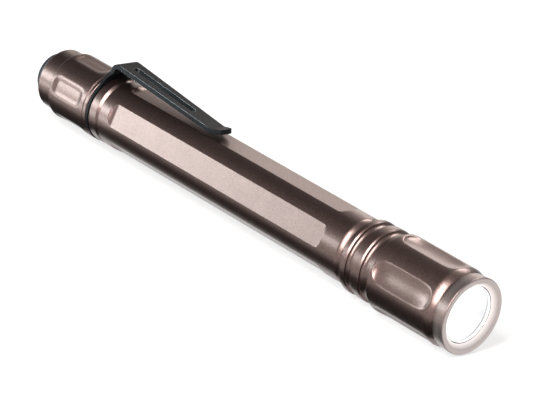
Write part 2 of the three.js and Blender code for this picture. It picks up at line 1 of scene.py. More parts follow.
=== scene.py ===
import json
import math
from types import SimpleNamespace

import bmesh
import bpy
import numpy as np
from mathutils import Matrix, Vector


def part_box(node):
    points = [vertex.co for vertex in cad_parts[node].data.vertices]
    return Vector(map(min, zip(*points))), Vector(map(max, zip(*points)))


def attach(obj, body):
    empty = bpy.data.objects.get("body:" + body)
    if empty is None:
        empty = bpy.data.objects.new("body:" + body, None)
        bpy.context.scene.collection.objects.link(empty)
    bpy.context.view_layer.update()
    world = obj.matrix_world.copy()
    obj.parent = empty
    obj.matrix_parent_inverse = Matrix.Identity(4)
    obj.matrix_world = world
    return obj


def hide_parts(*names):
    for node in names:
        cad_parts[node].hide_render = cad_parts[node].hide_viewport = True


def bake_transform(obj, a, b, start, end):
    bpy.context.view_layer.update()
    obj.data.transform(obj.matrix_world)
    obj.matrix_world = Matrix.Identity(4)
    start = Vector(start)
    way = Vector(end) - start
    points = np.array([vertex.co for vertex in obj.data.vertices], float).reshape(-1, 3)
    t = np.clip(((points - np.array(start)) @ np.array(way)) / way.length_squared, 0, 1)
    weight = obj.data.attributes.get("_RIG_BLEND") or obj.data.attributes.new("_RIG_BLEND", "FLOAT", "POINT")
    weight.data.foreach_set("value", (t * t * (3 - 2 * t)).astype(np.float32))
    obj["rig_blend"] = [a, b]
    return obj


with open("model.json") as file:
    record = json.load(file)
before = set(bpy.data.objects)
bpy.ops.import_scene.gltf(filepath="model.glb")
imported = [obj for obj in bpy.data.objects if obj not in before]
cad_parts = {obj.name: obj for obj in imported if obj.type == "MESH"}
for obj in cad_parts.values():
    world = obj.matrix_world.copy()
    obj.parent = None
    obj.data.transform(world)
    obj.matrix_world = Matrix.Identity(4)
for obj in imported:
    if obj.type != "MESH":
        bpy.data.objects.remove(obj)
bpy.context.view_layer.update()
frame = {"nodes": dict(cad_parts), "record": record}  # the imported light: metres, +X to the lens, +Z up through the clip
slotOf = {part["node"]: part["material_slot"] for part in frame["record"]["subparts"]}
bodyOf = {node: body for body, members in frame["record"]["behaviour"]["bodies"].items() for node in members}
scene = bpy.context.scene
print("frame loaded:", len(frame["nodes"]), "nodes")

metre = 1000.0  # millimetres in a metre; sizes are in millimetres, and only the stage's in metres
flatCount = 5  # flats, pockets and scallops all repeat at fifths of a turn


def span(node):
    # first and last station of a CAD piece along the light, in mm
    low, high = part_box(node)
    return low.x * metre, high.x * metre


def middleOf(node):
    low, high = np.array(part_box(node))
    return 0.5 * (low + high) * metre


axisHeight = middleOf("tail_button")[2]


# Colours and nodes

def linearColour(hexCode):
    # sRGB hex to linear light: the two-part sRGB curve, channel by channel
    channels = np.array([int(hexCode[i:i + 2], 16) for i in (1, 3, 5)]) / 255
    low = channels / 12.92
    high = ((channels + 0.055) / 1.055) ** 2.4
    return (*np.where(channels <= 0.04045, low, high).tolist(), 1.0)


def addNode(tree, kind, settings=None, links=None):
    # one node, with its input values or properties set and its inputs linked
    node = tree.nodes.new("ShaderNode" + kind)
    for key, value in (settings or {}).items():
        if isinstance(key, int) or key in node.inputs:
            node.inputs[key].default_value = value
        else:
            setattr(node, key, value)
    for key, socket in (links or {}).items():
        tree.links.new(socket, node.inputs[key])
    return node


def newMaterial(name, settings):
    material = bpy.data.materials.new(name)
    material.use_nodes = True
    shader = material.node_tree.nodes["Principled BSDF"]
    for key, value in settings.items():
        shader.inputs[key].default_value = linearColour(value) if isinstance(value, str) else value
    return material, material.node_tree, shader


def plug(tree, shader, sockets):
    for key, socket in sockets.items():
        tree.links.new(socket, shader.inputs[key])


def objectPlace(tree):
    return addNode(tree, "TexCoord").outputs["Object"]


def noise(tree, place, sizeMm, detail):
    # noise with features of this size in Object coordinates
    return addNode(tree, "TexNoise", {"Scale": metre / sizeMm, "Detail": detail},
                   {"Vector": place}).outputs["Fac"]


def ramp(tree, value, start, end, low, high):
    # low up to the start of a stretch, high from its end on and even between them
    return addNode(tree, "MapRange", {
        "From Min": start, "From Max": end, "To Min": low, "To Max": high,
    }, {"Value": value}).outputs["Result"]


def combine(tree, operation, first, second):
    return addNode(tree, "Math", {"operation": operation}, {0: first, 1: second}).outputs[0]


def mixTones(tree, share, first, second):
    return addNode(tree, "Mix", {
        "data_type": "RGBA", 6: linearColour(first), 7: linearColour(second),
    }, {0: share}).outputs[2]


def relief(tree, height, depthMm, strength):
    return addNode(tree, "Bump", {"Strength": strength, "Distance": depthMm / metre},
                   {"Height": height}).outputs["Normal"]


def aboutAxis(tree):
    # station along the light and distance from its axis, as sockets in mm
    shifted = addNode(tree, "VectorMath", {"operation": "SUBTRACT", 1: (0, 0, axisHeight / metre)},
                      {0: objectPlace(tree)})
    scaled = addNode(tree, "VectorMath", {"operation": "SCALE", "Scale": metre},
                     {0: shifted.outputs["Vector"]})
    parts = addNode(tree, "SeparateXYZ", None, {"Vector": scaled.outputs["Vector"]})
    across = addNode(tree, "CombineXYZ", None, {"Y": parts.outputs["Y"], "Z": parts.outputs["Z"]})
    radius = addNode(tree, "VectorMath", {"operation": "LENGTH"}, {0: across.outputs["Vector"]})
    return parts.outputs["X"], radius.outputs["Value"]


# Front bezel's sizes, which its lit lip shares
bezelLook = {"radius": 8.45, "length": 2.95, "edge": 0.32, "sleeve": 7.1, "sleeveBore": 6.7, "lip": 1.2,
             "aperture": 6.2, "flare": 1.1, "taper": 0.15}


# Materials

def bronzeAnodised():
    # Bead-blasted 6061 aluminium, anodised rose-brown: metal under a thin clear oxide, so soft
    # broad reflections and a fine even sparkle. The blast's 0.06 mm grit is drawn at 0.2 mm in the
    # relief and at 0.32 mm in the tone, so that it shows.
    # The lens is lit, so the bezel's lip carries a painted glow of its spill, brightest beside the glass.
    look = {"colour": "#574440", "pale": "#614e49", "cloudMm": 6.0, "gritMm": 0.2, "rough": (0.29, 0.4),
            "reliefMm": 0.03, "sparkMm": 0.32, "spark": (0.86, 1.14), "spill": "#fff7f4", "spillNear": 1.1,
            "spillFar": 0.36, "spillWall": 0.2, "wallFade": (0.25, 0.05)}
    material, tree, shader = newMaterial("bronzeAnodised", {
        "Metallic": 1.0, "Coat Weight": 0.5, "Coat Roughness": 0.25,
        "Emission Color": look["spill"],
    })
    place = objectPlace(tree)
    tone = mixTones(tree, noise(tree, place, look["cloudMm"], detail=2.0), look["colour"], look["pale"])
    grit = noise(tree, place, look["gritMm"], detail=1.0)
    spark = noise(tree, place, look["sparkMm"], detail=0.0)
    level = ramp(tree, spark, 0.25, 0.75, *look["spark"])  # noise hardly leaves 0.25 to 0.75
    tone = addNode(tree, "VectorMath", {"operation": "SCALE"}, {0: tone, "Scale": level})
    k, front = SimpleNamespace(**bezelLook), span("front_bezel")[1]
    station, radius = aboutAxis(tree)
    # painted glow: emission in the metal stands in for the lens's light spilling onto the lip
    spill = ramp(tree, radius, k.aperture, k.aperture + k.flare, look["spillNear"], look["spillFar"])
    onLip = ramp(tree, station, front - k.length, front - k.lip, 0.0, 1.0)
    fadeStart, fadeEnd = (k.radius - away for away in look["wallFade"])
    wall = ramp(tree, radius, fadeStart, fadeEnd, 1.0, look["spillWall"])
    plug(tree, shader, {
        "Base Color": tone.outputs["Vector"], "Roughness": ramp(tree, grit, 0.0, 1.0, *look["rough"]),
        "Normal": relief(tree, grit, look["reliefMm"], strength=0.5),
        "Emission Strength": combine(tree, "MULTIPLY", combine(tree, "MULTIPLY", spill, onLip), wall),
    })
    return material


def clipSteel():
    # Stamped spring steel with a black oxide and oil finish: satin, slightly grey where light rakes
    # it, with a faint rolled grain along the sheet, 0.25 mm apart, and a painted highlight on its edges.
    # edge is the colour of the painted highlight along the clip's edges
    look = {"dark": "#08090a", "worn": "#101214", "edge": "#868c90", "grainMm": 0.25, "stretch": 0.06,
            "rough": (0.34, 0.5), "reliefMm": 0.03}
    material, tree, shader = newMaterial("blackedSpringSteel", {"Specular IOR Level": 0.08})
    along = addNode(tree, "Mapping", {"Scale": (look["stretch"], 1.0, 1.0)},
                    {"Vector": objectPlace(tree)})
    grain = noise(tree, along.outputs["Vector"], look["grainMm"], detail=2.0)
    # painted highlight: sharp edges are lightened towards the edge colour, standing in for light caught on
    # them
    wear = addNode(tree, "Attribute", {"attribute_name": "wear"})
    tone = addNode(tree, "Mix", {"data_type": "RGBA", 7: linearColour(look["edge"])},
                   {0: wear.outputs["Fac"], 6: mixTones(tree, grain, look["dark"], look["worn"])})
    plug(tree, shader, {
        "Base Color": tone.outputs[2], "Roughness": ramp(tree, grain, 0.0, 1.0, *look["rough"]),
        "Normal": relief(tree, grain, look["reliefMm"], strength=0.08),
    })
    return material


def speckled(name, settings, dark, pale, grainMm, reliefMm):
    # a base colour that drifts between two tones on a grain of this size, with a relief to match
    material, tree, shader = newMaterial(name, settings)
    grain = noise(tree, objectPlace(tree), grainMm, detail=3.0)
    plug(tree, shader, {
        "Base Color": mixTones(tree, grain, dark, pale),
        "Normal": relief(tree, grain, reliefMm, strength=0.3),
    })
    return material


plainFinishes = {
    # moulded silicone: matt black with a dry, faintly mottled skin
    "button_rubber": ("mouldedSilicone", {"Roughness": 0.62, "Specular IOR Level": 0.25},
                      "#0d0f14", "#171a21", 0.3, 0.02),
    # nitrile seal rings: black, smoother and slightly greased
    "seal_rubber": ("nitrileRubber", {"Roughness": 0.45}, "#0f1011", "#191a1c", 0.4, 0.01),
    # music wire, zinc plated: bright with drawn-wire streaks
    "spring_steel": ("platedSpringWire", {"Metallic": 1.0, "Roughness": 0.28},
                     "#a9adb2", "#cfd2d5", 0.35, 0.01),
    # turned brass contacts
    "contact_brass": ("turnedBrass", {"Metallic": 1.0, "Roughness": 0.3},
                      "#ad8743", "#c9a35c", 0.5, 0.01),
    # glass-filled nylon: black with a fine fibre mottle
    "switch_plastic": ("glassFilledNylon", {"Roughness": 0.5}, "#1c1d1f", "#2a2c2e", 0.25, 0.02),
    # natural acetal: milky white
    "plunger_nylon": ("naturalAcetal", {"Roughness": 0.42, "Subsurface Weight": 0.1},
                      "#d3cec2", "#e2ded4", 0.8, 0.01),
    # epoxy glass laminate under green solder mask, with the 0.5 mm weave just showing
    "board_laminate": ("solderMaskLaminate", {"Roughness": 0.35}, "#23523a", "#2f6648", 0.5, 0.01),
    # white solder mask on a metal core board
    "board_white": ("whiteSolderMask", {"Roughness": 0.4}, "#dcdcd6", "#ebebe6", 0.6, 0.01),
    # shrink sleeve over a steel can: plain slate film
    "cell_wrap": ("shrinkSleeve", {"Roughness": 0.3, "Coat Weight": 0.3},
                  "#363a40", "#43484f", 2.0, 0.01),
    # turned bare aluminium
    "heat_sink_metal": ("turnedAluminium", {"Metallic": 1.0, "Roughness": 0.34},
                        "#b9b6ad", "#d2cfc6", 0.3, 0.02),
    # silicone wire insulation
    "lead_red": ("redSilicone", {"Roughness": 0.5}, "#8d1b18", "#a82824", 0.4, 0.01),
    "lead_black": ("blackSilicone", {"Roughness": 0.5}, "#141416", "#212124", 0.4, 0.01),
}


def litReflector():
    # vacuum-metallised bowl, filled by the lit emitter: mirror metal with a painted glow for the emitter's
    # light, fading to its rim
    look = {"metal": "#e4e6e8", "glow": "#ffffff", "throat": 1.0, "rim": 0.25}
    material, tree, shader = newMaterial("metallisedBowl", {
        "Base Color": look["metal"], "Metallic": 1.0, "Roughness": 0.12,
        "Emission Color": look["glow"],
    })
    # painted glow, brightest at the throat
    fade = ramp(tree, aboutAxis(tree)[0], *span("reflector"), look["throat"], look["rim"])
    plug(tree, shader, {"Emission Strength": fade})
    return material


def lensGlass():
    # float glass disc, polished and lit from behind: clear in the middle, and towards its edge a painted
    # haze dims the bowl while a painted glow stands in for the light it catches
    look = {"glow": "#ffffff", "edgeFrom": 4.7, "edgeTo": 6.1, "edge": 0.3, "clear": 0.98, "dim": 0.4}
    material, tree, shader = newMaterial("polishedGlass", {
        "Roughness": 0.02, "IOR": 1.5, "Transmission Weight": 1.0,
        "Emission Color": look["glow"],
    })
    rim = aboutAxis(tree)[1], look["edgeFrom"], look["edgeTo"]
    # painted glow and painted dimming towards the glass's edge
    plug(tree, shader, {
        "Emission Strength": ramp(tree, *rim, 0.0, look["edge"]),
        "Base Color": ramp(tree, *rim, look["clear"], look["dim"]),
    })
    return material


finishes = {slotName: speckled(*settings) for slotName, settings in plainFinishes.items()}
finishes["bronze_anodised"] = bronzeAnodised()
finishes["clip_steel"] = clipSteel()
# silicone dome over yellow phosphor, switched on: the brightest thing on the light
finishes["emitter_resin"] = newMaterial("litPhosphor", {
    "Base Color": "#f6efc8", "Roughness": 0.2,
    "Emission Color": "#fffdf4", "Emission Strength": 6.0,
})[0]
finishes["reflector_chrome"] = litReflector()
finishes["lens_glass"] = lensGlass()
print("finishes made:", len(finishes))


# Shapes

sharpAngle = math.radians(40)  # edges that turn more than this keep a crease
touch = 0.005  # mm within which a point counts as lying on a turned surface
pointsRound = {"shell": 320, "bezel": 256, "lens": 160, "ring": 128, "small": 96, "cord": 20}


def softLine(corners, arcSteps=4, support=0.06, mostReach=0.45):
    # A closed outline of straight stretches joined by tangent arcs. Each corner is (x, radius,
    # roundness) and may add the longest step to the next corner; short steps beside each arc keep
    # shading crisp.
    place = np.array([corner[:2] for corner in corners], float)
    back = np.roll(place, 1, axis=0) - place
    ahead = np.roll(place, -1, axis=0) - place
    arcs = []
    for point, toBack, toAhead, corner in zip(place, back, ahead, corners):
        roundness = corner[2]
        if roundness == 0:
            arcs.append(point[None])
            continue
        lengths = np.linalg.norm(toBack), np.linalg.norm(toAhead)
        u, v = toBack / lengths[0], toAhead / lengths[1]
        half = 0.5 * math.acos(np.clip(u @ v, -1, 1))
        reach = min(roundness / math.tan(half), mostReach * min(lengths))
        radius = reach * math.tan(half)
        centre = point + (u + v) / np.linalg.norm(u + v) * radius / math.sin(half)
        first, last = point + u * reach - centre, point + v * reach - centre
        turn = math.atan2(first[0] * last[1] - first[1] * last[0], first @ last)
        angles = math.atan2(first[1], first[0]) + turn * np.linspace(0, 1, arcSteps + 1)
        arcs.append(centre + radius * onCircle(angles))
    line = []
    for i, arc in enumerate(arcs):
        gap = arcs[(i + 1) % len(arcs)][0] - arc[-1]
        length = np.linalg.norm(gap)
        shares = []
        for step in corners[i][3:]:
            shares.extend(np.linspace(0, 1, max(int(length / step), 1) + 1)[1:-1])
        if length > 4 * support:
            shares.extend([support / length, 1 - support / length])
        shares = np.unique(np.array(shares, float))
        line.append(arc)
        line.append(arc[-1] + gap * shares[:, None])
    return np.concatenate(line)


def openLine(corners):
    # an outline that starts and ends on the axis, without the way back along it
    line = softLine(corners)
    return line[:np.flatnonzero(line[:, 1] == 0)[-1] + 1] if corners[0][1] == 0 else line


def easedDrop(end, length, radius, drop, steps=13):
    # corners of a nose that drops ever faster towards its end: radius - drop t^1.7
    return [(end - length * (1 - t), radius - drop * t ** 1.7, 0) for t in np.linspace(0, 1, steps)[:-1]]


def hollowFoot(x, top, floor, width, steps=9):
    # corners of a concave quarter ellipse from a fin's front face down to the groove's floor
    turns = np.linspace(0, np.pi / 2, steps)
    return [(x + width * (1 - math.cos(t)), floor + (top - floor) * (1 - math.sin(t)), 0) for t in turns]


def evenAngles(count):
    return np.linspace(0, 2 * np.pi, count, endpoint=False)


def onCircle(angles):
    return np.stack([np.cos(angles), np.sin(angles)], axis=1)


def lengthAlong(points):
    return np.concatenate([[0], np.cumsum(np.linalg.norm(np.diff(points, axis=0), axis=1))])


def gridFaces(rows, columns, closedRows):
    # quads between neighbouring rows and columns; columns always wrap round
    index = np.arange(rows * columns).reshape(rows, columns)
    below = np.roll(index, -1, axis=0)
    quads = np.stack([index, below, np.roll(below, -1, axis=1), np.roll(index, -1, axis=1)], axis=-1)
    return (quads if closedRows else quads[:-1]).reshape(-1, 4)


def addObject(name, data):
    added = bpy.data.objects.new(name, data)
    scene.collection.objects.link(added)
    return added


def shadeSoftly(mesh):
    mesh.polygons.foreach_set("use_smooth", np.ones(len(mesh.polygons), bool))
    mesh.set_sharp_from_angle(angle=sharpAngle)


def addMesh(name, points, faces):
    mesh = bpy.data.meshes.new(name)
    mesh.from_pydata((points / metre).tolist(), [], [list(face) for face in faces])
    shadeSoftly(mesh)
    mesh.update()
    return addObject(name, mesh)


def turned(name, line, around, carve=None, aside=0.0):
    # Outline points (x, r) swung round the light's axis, or one moved aside in y: (x, r sin a, r cos a).
    # carve may move x and r. A line that starts and ends on the axis closes in a fan at each pole.
    # around is a kind of piece or its own angles.
    angles = evenAngles(pointsRound[around]) if isinstance(around, str) else around
    poles = line[0, 1] < 1e-6
    rows = line[1:-1] if poles else line
    x, a = np.meshgrid(rows[:, 0], angles, indexing="ij")
    r = np.repeat(rows[:, 1:], len(angles), axis=1)
    if carve:
        x, r = carve(x, r, a)
    points = np.stack([x, aside + r * np.sin(a), axisHeight + r * np.cos(a)], axis=-1).reshape(-1, 3)
    faces = gridFaces(len(rows), len(angles), not poles).tolist()
    if poles:
        count = len(angles)
        ring = np.arange(count)
        after = np.roll(ring, -1)
        last = (len(rows) - 1) * count
        first, second = len(points), len(points) + 1
        tips = [[line[0, 0], aside, axisHeight], [line[-1, 0], aside, axisHeight]]
        points = np.concatenate([points, tips])
        faces += np.stack([np.full(count, first), ring, after], axis=1).tolist()
        faces += np.stack([last + ring, np.full(count, second), last + after], axis=1).tolist()
    return addMesh(name, points, faces)


def plainName(node):
    words = node.split("_")
    return words[0] + "".join(word.capitalize() for word in words[1:])


def finishPiece(piece, *replaced):
    # the body and the slot are those of the first node that the piece replaces
    body, slotName = bodyOf[replaced[0]], slotOf[replaced[0]]
    piece.data.materials.append(finishes[slotName])
    if "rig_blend" not in piece:
        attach(piece, body)
    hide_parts(*replaced)
    print(piece.name + ":", len(piece.data.polygons), "faces")


def smoothStep(t):
    t = np.clip(t, 0, 1)
    return t * t * (3 - 2 * t)


def fromFlat(a, turnDeg=0):
    # angle from the nearest flat's middle, the first one turned from straight up
    pitch = 2 * np.pi / flatCount
    return (a - math.radians(turnDeg) + pitch / 2) % pitch - pitch / 2


# Threads of the necks and bores
threadLook = {"pitch": 1.0, "run": 0.6, "inset": 0.2, "mouth": 0.5}


def threadCut(x, a, start, end):
    # share of a right-hand thread's depth: 0 at its crests, 1 at the roots of a rounded 60 degree form,
    # and easing to 0 at both ends of its stretch
    phase = (x / threadLook["pitch"] - a / (2 * np.pi)) % 1
    ends = smoothStep((x - start) / threadLook["run"]) * smoothStep((end - x) / threadLook["run"])
    return ends * smoothStep(1 - np.abs(2 * phase - 1))


# Body tube: threaded necks, a grooved band, five long flats with a ramp behind and a round end in front
tubeLook = {
    "radius": 7.55, "neck": 6.5, "neckBevel": 0.4, "bore": 5.45, "rearNeck": 7.15, "frontNeck": 6.7,
    "band": 2.25, "groove": 1.05, "grooveDepth": 0.4, "grooveWall": 0.22, "edge": 0.25,
    "flatStart": 6.1, "flatRamp": 1.55, "rampPower": 1.6, "flatDepth": 0.47, "flatFront": 6.15,
    "flatWidth": 6.4, "flatCorner": 2.0, "flatWall": 0.55, "bevelLength": 1.4, "bevelDrop": 0.55,
    "sealOffset": 2.6, "sealGroove": 1.1, "sealDepth": 0.55, "threadDepth": 0.32,
}


def bodyTube():
    k = SimpleNamespace(**tubeLook)
    rear, front = span("body_tube")
    shoulder, face = rear + k.rearNeck, front - k.frontNeck
    flatStart, flatEnd = shoulder + k.flatStart, face - k.flatFront
    floorStart = flatStart + k.flatRamp
    grooveStart, grooveEnd = shoulder + k.band, shoulder + k.band + k.groove
    floor = k.radius - k.grooveDepth
    sealFloor = k.neck - k.sealDepth
    halfSeal = k.sealGroove / 2
    fine = 0.12

    def sealCorners(middle):
        return [
            (middle - halfSeal, k.neck, 0.08), (middle - halfSeal, sealFloor, 0.1),
            (middle + halfSeal, sealFloor, 0.1), (middle + halfSeal, k.neck, 0.08, fine),
        ]

    line = softLine([
        (rear, k.neck - k.neckBevel, 0.1), (rear + k.neckBevel, k.neck, 0.1, fine),
        *sealCorners(shoulder - k.sealOffset),
        (shoulder, k.neck, 0.1), (shoulder, k.radius, k.edge),
        (grooveStart, k.radius, 0.25), (grooveEnd - k.grooveWall, floor, 0.1), (grooveEnd, k.radius, 0.15),
        (flatStart - 0.2, k.radius, 0, fine),  # close stations over the ramps
        (floorStart + 0.8, k.radius, 0, 4.0),  # wide ones along the floors
        (flatEnd - 3.2, k.radius, 0, fine),  # close ones round the front ends
        (flatEnd + 0.4, k.radius, 0),
        *easedDrop(face, k.bevelLength, k.radius, k.bevelDrop),
        (face, k.radius - k.bevelDrop, 0.12), (face, k.neck, 0.1),
        *sealCorners(face + k.sealOffset),
        (front - k.neckBevel, k.neck, 0.1), (front, k.neck - k.neckBevel, 0.1),
        (front, k.bore, 0.15), (rear, k.bore, 0.15),
    ])
    edge = math.acos((k.radius - k.flatDepth) / k.radius)
    # angles: even over each flat and over the round between, with close pairs beside each edge
    fifth, beside, clear = 2 * np.pi / flatCount, 0.006, 0.03
    share = np.sort(np.concatenate([
        np.linspace(-edge, edge, 25), np.linspace(edge + clear, fifth - edge - clear, 13),
        [beside - edge, edge - beside, edge + beside, fifth - edge - beside],
    ]))
    angles = np.concatenate([share + fifth * i for i in range(flatCount)])

    def carve(x, r, a):
        # flats: the chord at its height / cos(angle), lifted along the rear ramp's curve and by the
        # distance to the round-cornered front end; threads: a wave cut into the necks
        b = fromFlat(a)
        y = np.abs(r * np.sin(b))
        climb = np.clip((floorStart - x) / k.flatRamp, 0, 1) ** k.rampPower
        inX = x - (flatEnd - k.flatCorner)
        inY = y - (k.flatWidth / 2 - k.flatCorner)
        outside = np.hypot(np.maximum(inX, 0), np.maximum(inY, 0)) - k.flatCorner
        outside = np.where(inX > 0, outside, -k.flatCorner)
        wall = smoothStep(outside / k.flatWall + 1)
        height = k.radius - k.flatDepth * (1 - climb) * (1 - wall)
        onTube = (r > k.radius - touch) & (x > flatStart) & (x < flatEnd)
        r = np.where(onTube, np.minimum(r, height / np.cos(b)), r)
        onNeck = np.abs(r - k.neck) < 2 * touch
        inset, toSeal = threadLook["inset"], k.sealOffset + halfSeal + threadLook["inset"]
        cut = threadCut(x, a, rear + inset, shoulder - toSeal) + threadCut(x, a, face + toSeal, front - inset)
        return x, np.where(onNeck, r - k.threadDepth * cut, r)

    finishPiece(turned("bodyTube", line, angles, carve), "body_tube")


bodyTube()


# Tail cap: end collar, stepped body with five shallow pockets, a lined rim and the switch chamber
capLook = {
    "radius": 7.75, "taper": 0.05, "body": 13.1, "step": 0.35, "rimBand": 1.05, "rimGroove": 0.2,
    "bevel": 0.3, "collar": 7.0, "collarEdge": 0.5, "bore": 6.7, "chamber": 6.15, "lip": 1.8,
    "buttonHole": 5.3, "boreDepth": 6.55, "pocketLength": 10.4, "pocketWidth": 5.4, "pocketDepth": 0.36,
    "pocketPower": 3.2, "pocketMargin": 2.0, "pocketWall": 1.6, "pocketFlat": 0.55, "pocketTurnDeg": -4,
    "threadDepth": 0.3,
}


def tailCap():
    k = SimpleNamespace(**capLook)
    back, rim = span("tail_cap")
    stepX = rim - k.body
    lineX = rim - k.rimBand
    fine, beyond = 0.13, 0.2  # close stations over the pockets and a little past them
    pocketEnd = rim - k.pocketMargin
    pocketStart = pocketEnd - k.pocketLength
    line = softLine([
        (back, k.collar, k.collarEdge), (stepX, k.collar, 0.2), (stepX, k.radius - k.taper, k.step),
        (pocketStart - beyond, k.radius, 0, fine), (pocketEnd + beyond, k.radius, 0),
        (lineX - k.rimGroove, k.radius, 0.08), (lineX, k.radius - k.rimGroove, 0.08),
        (lineX + k.rimGroove, k.radius, 0.08),
        (rim, k.radius, k.bevel), (rim, k.bore, 0.25, 0.12),
        (rim - k.boreDepth, k.bore, 0.1), (rim - k.boreDepth, k.chamber, 0.1),
        (back + k.lip, k.chamber, 0.2), (back + k.lip, k.buttonHole, 0.1), (back, k.buttonHole, 0.3),
    ])
    height = k.radius - k.pocketDepth

    def carve(x, r, a):
        # pockets: a floor half way between flat and round, eased up to the cap by the distance inside an
        # outline with soft corners, (x^power + y^power)^(1 / power) = half the width at each end
        b = fromFlat(a, k.pocketTurnDeg)
        y = np.abs(k.radius * np.sin(b))
        middle = 0.5 * (pocketStart + pocketEnd)
        endX = np.maximum(np.abs(x - middle) - (k.pocketLength - k.pocketWidth) / 2, 0)
        reach = (endX ** k.pocketPower + y ** k.pocketPower) ** (1 / k.pocketPower)
        depth = smoothStep((k.pocketWidth / 2 - reach) / k.pocketWall)
        onCap = (r > k.radius - touch) & (x > pocketStart - beyond / 2) & (x < pocketEnd + beyond / 2)
        sunk = height * (1 + k.pocketFlat * (1 / np.cos(b) - 1))
        r = np.where(onCap, r + (sunk - r) * depth, r)
        cut = threadCut(x, a, rim - k.boreDepth + threadLook["inset"], rim - threadLook["mouth"])
        return x, np.where(np.abs(r - k.bore) < touch, r + k.threadDepth * cut, r)

    finishPiece(turned("tailCap", line, "shell", carve), "tail_cap")


tailCap()


# Tail button: a moulded boot with a softly crowned end
buttonLook = {"radius": 5.2, "crown": 0.7, "dome": 0.12, "flange": 5.9, "flangeLength": 1.2, "groove": 0.6,
              "grooveWidth": 0.66, "sealInset": 0.9}


def tailButton():
    k = SimpleNamespace(**buttonLook)
    tip, back = span("tail_button")
    sealX = span("tail_cap")[0] + k.sealInset
    half = k.grooveWidth / 2
    line = openLine([
        (tip, 0, 0, 0.5), (tip + k.dome, k.radius, k.crown),
        (sealX - half, k.radius, 0.06), (sealX - half, k.radius - k.groove, 0.06),
        (sealX + half, k.radius - k.groove, 0.06), (sealX + half, k.radius, 0.06),
        (back - k.flangeLength, k.radius, 0.1), (back - k.flangeLength, k.flange, 0.15),
        (back, k.flange, 0.15), (back, 0, 0),
    ])
    finishPiece(turned("tailButton", line, "small"), "tail_button")


tailButton()


# Head shell: two fins, a grooved neck, five scallops with round ends and a bevelled nose
headLook = {
    "fin": 8.3, "rearFin": 1.5, "frontFin": 2.45, "finGroove": 1.75, "finDepth": 0.75, "finEdge": 0.2,
    "finBevel": 0.4, "finDrop": 0.18, "finFoot": 0.54, "finHollow": 1.0, "rise": 0.85, "radius": 8.72,
    "length": 18.75, "nose": 2.1, "noseDrop": 0.65, "bore": 6.7, "boreDepth": 6.1, "flange": 2.0,
    "flangeBore": 5.0, "module": 7.2, "scallop": 16.2, "scallopHalf": 2.75, "scallopDepth": 0.8,
    "scallopMargin": 0.7, "scallopRun": 4.5, "rimSlope": 0.3, "edgeSoft": 0.05, "threadDepth": 0.3,
}


def headShell():
    k = SimpleNamespace(**headLook)
    start, end = span("head_shell")
    bodyStart = end - k.length
    secondFin = start + k.rearFin + k.finGroove
    floor = k.fin - k.finDepth
    first, last = bodyStart + k.scallopMargin, bodyStart + k.scallopMargin + k.scallop
    flangeStart = start + k.boreDepth
    fine, skin, beyond = 0.2, 0.3, 0.25  # a scallop cuts this skin, and its soft rim reaches a little past it

    def finCorners(back, front):
        return [
            (back, k.fin, k.finEdge), (front - k.finBevel, k.fin, 0.1),
            (front, k.fin - k.finDrop, 0.05),
            *hollowFoot(front, floor + k.finFoot, floor, k.finHollow),
        ]

    line = softLine([
        *finCorners(start, start + k.rearFin),
        (secondFin, floor, 0.3),
        *finCorners(secondFin, secondFin + k.frontFin),
        (bodyStart - k.rise, floor, 0.4), (bodyStart, k.radius, 0.3),
        (first - 0.3, k.radius, 0, fine),
        *easedDrop(end, k.nose, k.radius, k.noseDrop),
        (end, k.radius - k.noseDrop, 0.12), (end, k.module, 0.1),
        (flangeStart + k.flange, k.module, 0.15), (flangeStart + k.flange, k.flangeBore, 0.1),
        (flangeStart, k.flangeBore, 0.1), (flangeStart, k.bore, 0.15, 0.12), (start, k.bore, 0.25),
    ])
    middle = 0.5 * (first + last)
    core = 0.5 * k.scallop - k.scallopHalf

    def carve(x, r, a):
        # scallops: dishes along the head with half-round ends, as deep as depth (1 - (y / half)^2) across;
        # along x a quarter ellipse leads down from the rim, and a soft minimum eases the edges
        y = k.radius * fromFlat(a)
        rimX = core + np.sqrt(np.maximum(k.scallopHalf ** 2 - y ** 2, 0))
        inside = (rimX - np.abs(x - middle)) / k.scallopRun
        run = np.sqrt(1 - (1 - np.clip(inside, 0, 1)) ** 2)
        across = (1 - (y / k.scallopHalf) ** 2) * run
        dish = k.scallopDepth * np.where(inside > 0, across, k.rimSlope * inside)
        h = np.clip(0.5 - 0.5 * dish / k.edgeSoft, 0, 1)
        soft = r - dish * (1 - h) - k.edgeSoft * h * (1 - h)
        onBody = (r > k.radius - skin) & (x > first - beyond) & (x < last + beyond)
        r = np.where(onBody, soft, r)
        cut = threadCut(x, a, start + threadLook["mouth"], flangeStart - threadLook["inset"])
        return x, np.where(np.abs(r - k.bore) < touch, r + k.threadDepth * cut, r)

    finishPiece(turned("headShell", line, "shell", carve), "head_shell")


headShell()


# Front bezel, lens and reflector
bowlLook = {"throat": 2.3, "mouth": 6.25, "wall": 0.35, "rim": 0.9, "steps": 40}
lensLook = {"radius": 6.6, "bevel": 0.3, "face": 6.17, "proud": 0.6, "soft": 0.04}


def frontBezel():
    k = SimpleNamespace(**bezelLook)
    sleeveStart, end = span("front_bezel")
    start = end - k.length
    line = softLine([
        (sleeveStart, k.sleeve, 0.1), (start, k.sleeve, 0.06),
        (start, k.radius - k.taper, 0.12), (end, k.radius, k.edge),
        (end, k.aperture + k.flare, 0.25), (end - k.lip, k.aperture, 0.12),
        (end - k.lip, k.sleeveBore, 0.05), (sleeveStart, k.sleeveBore, 0.1),
    ])
    finishPiece(turned("frontBezel", line, "bezel"), "front_bezel")


def lensDisc():
    k = SimpleNamespace(**lensLook)
    start, end = span("lens")
    line = openLine([
        (start, 0, 0), (start, k.radius, k.bevel), (end, k.radius, k.bevel),
        (end, k.face, 0.05), (end + k.proud, k.face, k.soft), (end + k.proud, 0, 0),
    ])
    finishPiece(turned("lens", line, "lens"), "lens")


